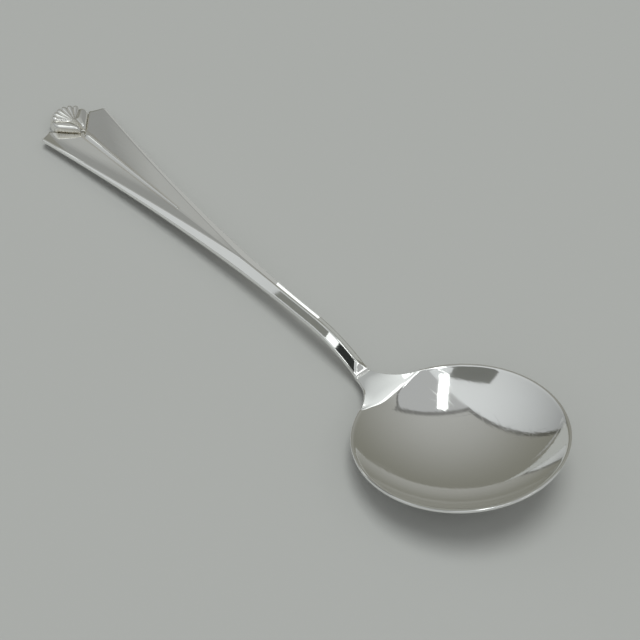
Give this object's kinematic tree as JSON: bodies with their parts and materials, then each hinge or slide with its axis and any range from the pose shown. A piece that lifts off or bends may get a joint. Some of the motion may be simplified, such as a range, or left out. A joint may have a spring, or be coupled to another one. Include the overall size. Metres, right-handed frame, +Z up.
{
  "type": "jam spoon",
  "caption": "Silver-plated jam spoon with a round tilted bowl, a ridged stem flaring into a fluted blade, and a small fan ornament at its end.",
  "frame": {"origin": "middle of the spoon's length and width, on the surface it lies on", "axes": "+X along the spoon towards the bowl, +Y across it, +Z up out of the hollow of the bowl"},
  "size_m": [0.1453, 0.042, 0.015],
  "materials": {
    "bowl_plate": "mirror-polished silver plate with fine use scratches",
    "handle_plate": "polished silver plate, a little softer than the bowl",
    "ornament_plate": "polished silver plate with faint tarnish in the recesses"
  },
  "bodies": {
    "root": {"bowl": "bowl_plate", "handle": "handle_plate", "centre_rib": "ornament_plate", "fan": "ornament_plate"}
  },
  "joints": []
}
